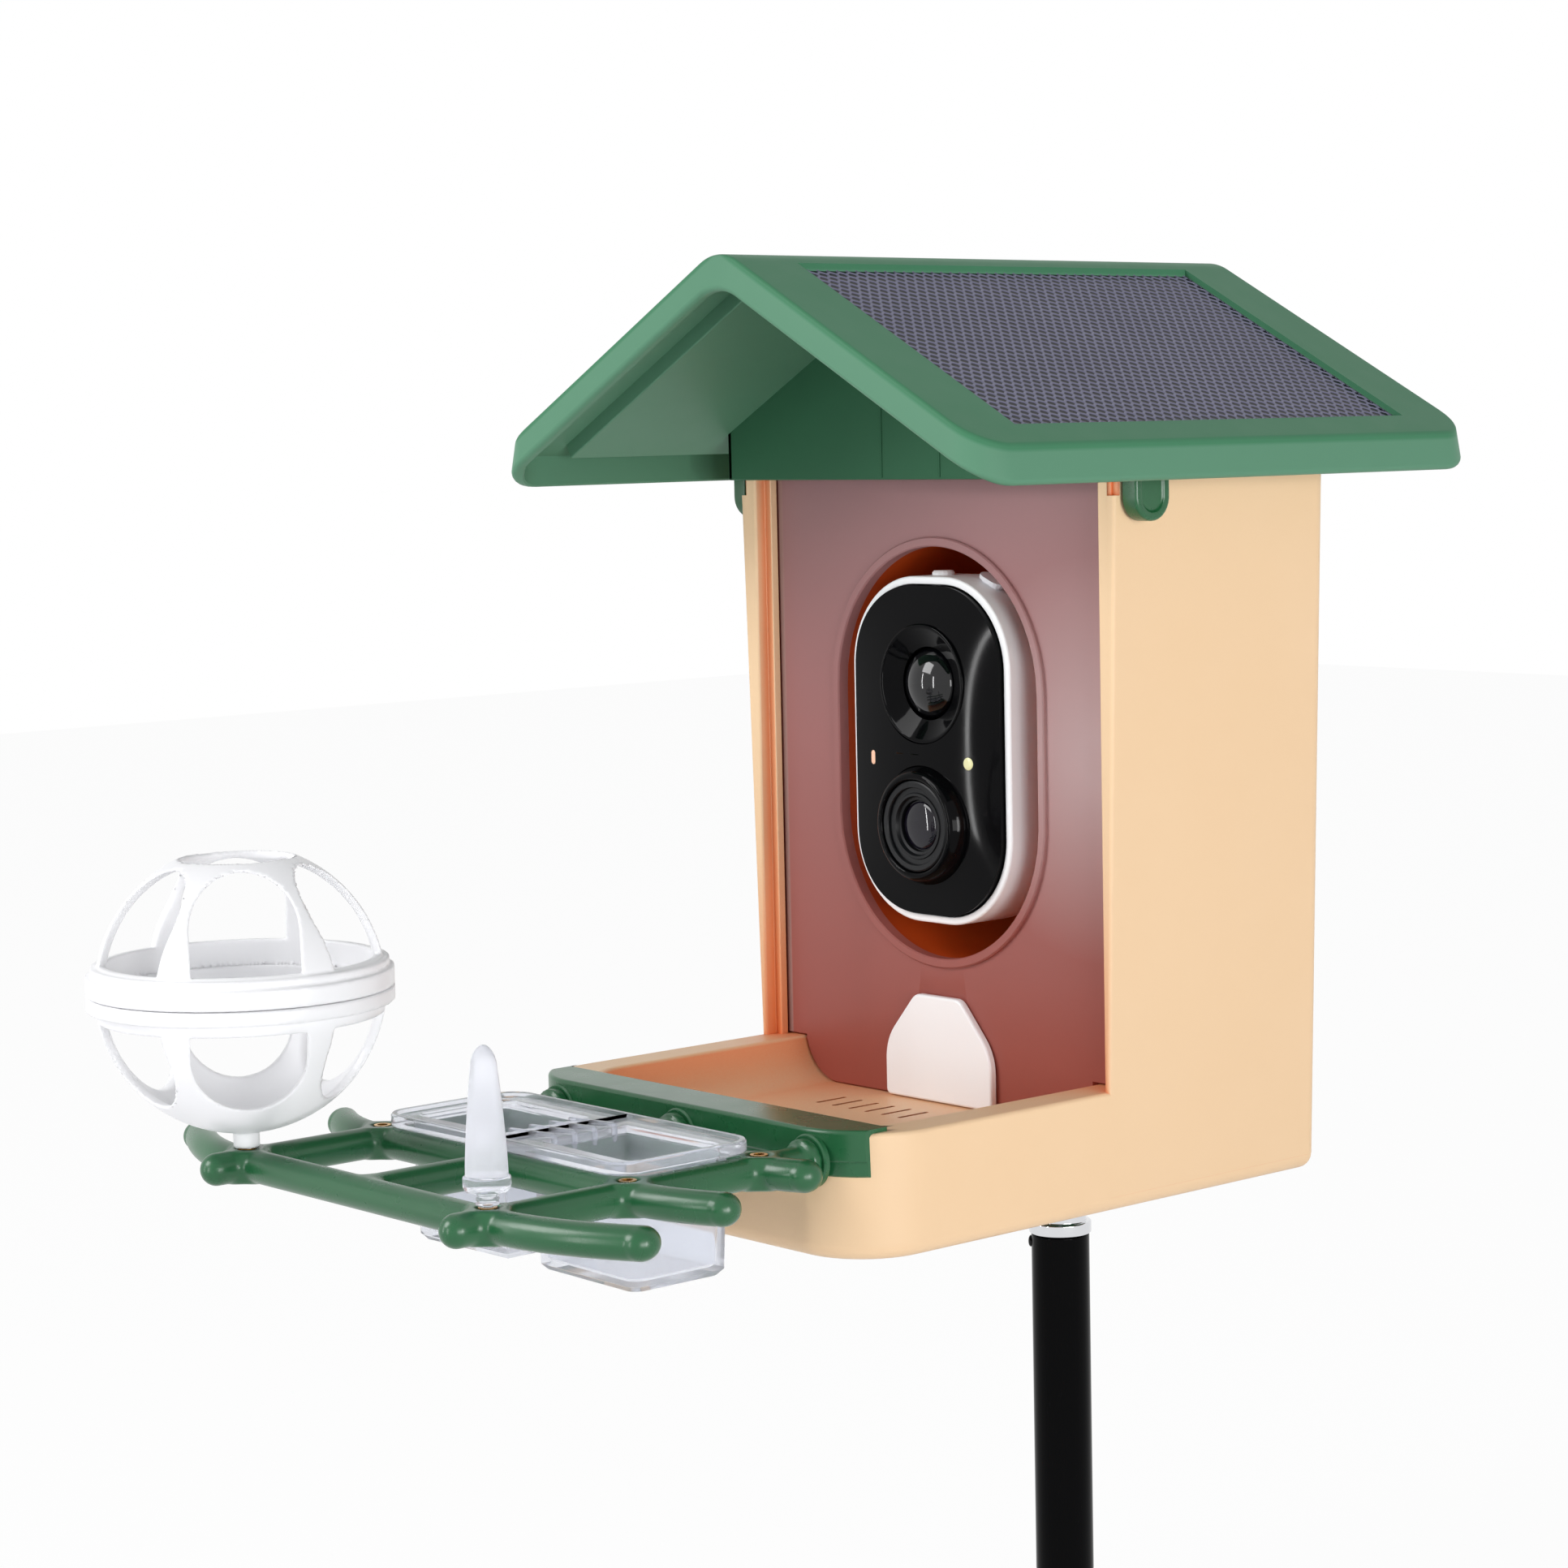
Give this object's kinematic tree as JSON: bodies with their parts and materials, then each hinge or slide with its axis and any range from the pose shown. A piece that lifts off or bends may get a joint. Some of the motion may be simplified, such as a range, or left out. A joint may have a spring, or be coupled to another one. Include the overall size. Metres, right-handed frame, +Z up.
{
  "type": "smart bird feeder",
  "caption": "Pole-mounted bird feeder: hopper housing with seed tray and camera, hinged saddle roof with solar panels, and a perch frame holding a twin cup, a spike and a ball cage.",
  "frame": {"origin": "centre of the flat lower end of the pole section's spigot", "axes": "+Z up along the pole, the camera and the tray face -Y, +X to the feeder's right as seen from the front camera's viewer"},
  "size_m": [0.1872, 0.3338, 0.3732],
  "materials": {
    "zinc_steel": "zinc plated",
    "gloss_black_paint": "gloss powder coat",
    "chrome_plate": "polished",
    "green_plastic": "glossy moulded",
    "roof_green_plastic": "satin moulded",
    "brass": "turned",
    "cream_plastic": "fine moulded grain",
    "smoky_clear": "frosted smoky clear",
    "black_plastic": "satin",
    "gloss_black_plastic": "piano black",
    "dark_glass": "coated",
    "light_pipe": "frosted",
    "circuit_board": "solder mask",
    "battery_wrap": "film",
    "white_rubber": "soft",
    "white_plastic": "satin moulded",
    "solar_panel": "laminated cells",
    "clear_acrylic": "clear moulded"
  },
  "bodies": {
    "pole": {"pole_spigot": "zinc_steel", "pole_tube": "gloss_black_paint", "pole_rivet": "gloss_black_paint", "pole_collar": "chrome_plate", "pole_stud": "zinc_steel"},
    "housing": {"mount_adapter": "green_plastic", "adapter_insert": "brass", "adapter_screw_1": "zinc_steel", "adapter_screw_2": "zinc_steel", "adapter_screw_3": "zinc_steel", "adapter_screw_4": "zinc_steel", "housing_shell": "cream_plastic", "hopper_floor": "cream_plastic", "camera_bay": "cream_plastic", "front_panel": "smoky_clear", "camera_dock": "black_plastic", "tray_bracket": "green_plastic", "hinge_pin_left": "zinc_steel", "hinge_pin_right": "zinc_steel"},
    "gate": {"seed_gate": "white_plastic"},
    "camera": {"camera_shell": "white_plastic", "camera_cover": "gloss_black_plastic", "pir_bezel": "gloss_black_plastic", "pir_lens": "dark_glass", "lens_housing": "gloss_black_plastic", "lens_barrel": "black_plastic", "lens_glass": "dark_glass", "status_light": "light_pipe", "spot_light": "light_pipe", "camera_board": "circuit_board", "camera_battery": "battery_wrap"},
    "plug": {"port_plug": "white_rubber"},
    "button": {"power_button": "white_plastic"},
    "roof": {"roof_shell": "roof_green_plastic", "solar_panel_right": "solar_panel", "solar_panel_left": "solar_panel"},
    "latch_right": {"roof_latch_right": "roof_green_plastic"},
    "latch_left": {"roof_latch_left": "roof_green_plastic"},
    "perch": {"perch_frame": "green_plastic", "perch_insert_1": "brass", "perch_insert_2": "brass", "perch_insert_3": "brass", "perch_insert_4": "brass", "perch_insert_5": "brass", "perch_insert_6": "brass"},
    "cup": {"double_cup": "clear_acrylic"},
    "spike": {"fruit_spike": "clear_acrylic"},
    "ball": {"ball_base": "white_plastic"},
    "dome": {"ball_dome": "white_plastic"}
  },
  "joints": [
    {"name": "housing_turn", "type": "hinge", "parent": "pole", "child": "housing", "pos_m": [0, 0, 0.1148], "axis": [0, 0, 1], "continuous": true},
    {"name": "gate_lift", "type": "slide", "parent": "housing", "child": "gate", "axis": [0, 0, 1], "range_m": [0, 0.007]},
    {"name": "camera_pull", "type": "slide", "parent": "housing", "child": "camera", "axis": [0, -1, 0], "range_m": [0, 0.06]},
    {"name": "plug_pull", "type": "slide", "parent": "camera", "child": "plug", "axis": [0.4067, 0, 0.9135], "range_m": [0, 0.004]},
    {"name": "button_press", "type": "slide", "parent": "camera", "child": "button", "axis": [0, 0, -1], "range_m": [0, 0.0008], "stiffness_N_per_m": 400, "springref_m": -0.0005},
    {"name": "roof_open", "type": "hinge", "parent": "housing", "child": "roof", "pos_m": [0, 0.037, 0.3147], "axis": [-1, 0, 0], "range_deg": [0, 95]},
    {"name": "latch_right_flex", "type": "hinge", "parent": "roof", "child": "latch_right", "pos_m": [0.0741, -0.0412, 0.3215], "axis": [0, -1, 0], "range_deg": [0, 8], "stiffness_Nm_per_rad": 0.4, "springref_deg": -1.72},
    {"name": "latch_left_flex", "type": "hinge", "parent": "roof", "child": "latch_left", "pos_m": [-0.0741, -0.0412, 0.3215], "axis": [0, 1, 0], "range_deg": [0, 8], "stiffness_Nm_per_rad": 0.4, "springref_deg": -1.72},
    {"name": "perch_pull", "type": "slide", "parent": "housing", "child": "perch", "axis": [0, -1, 0], "range_m": [0, 0.015]},
    {"name": "cup_lift", "type": "slide", "parent": "perch", "child": "cup", "axis": [0, 0, 1], "range_m": [0, 0.035]},
    {"name": "spike_turn", "type": "hinge", "parent": "perch", "child": "spike", "pos_m": [0.049, -0.2309, 0.1585], "axis": [0, 0, 1], "continuous": true},
    {"name": "ball_turn", "type": "hinge", "parent": "perch", "child": "ball", "pos_m": [-0.049, -0.2309, 0.1585], "axis": [0, 0, 1], "continuous": true},
    {"name": "dome_lift", "type": "slide", "parent": "ball", "child": "dome", "axis": [0, 0, 1], "range_m": [0, 0.03]}
  ]
}
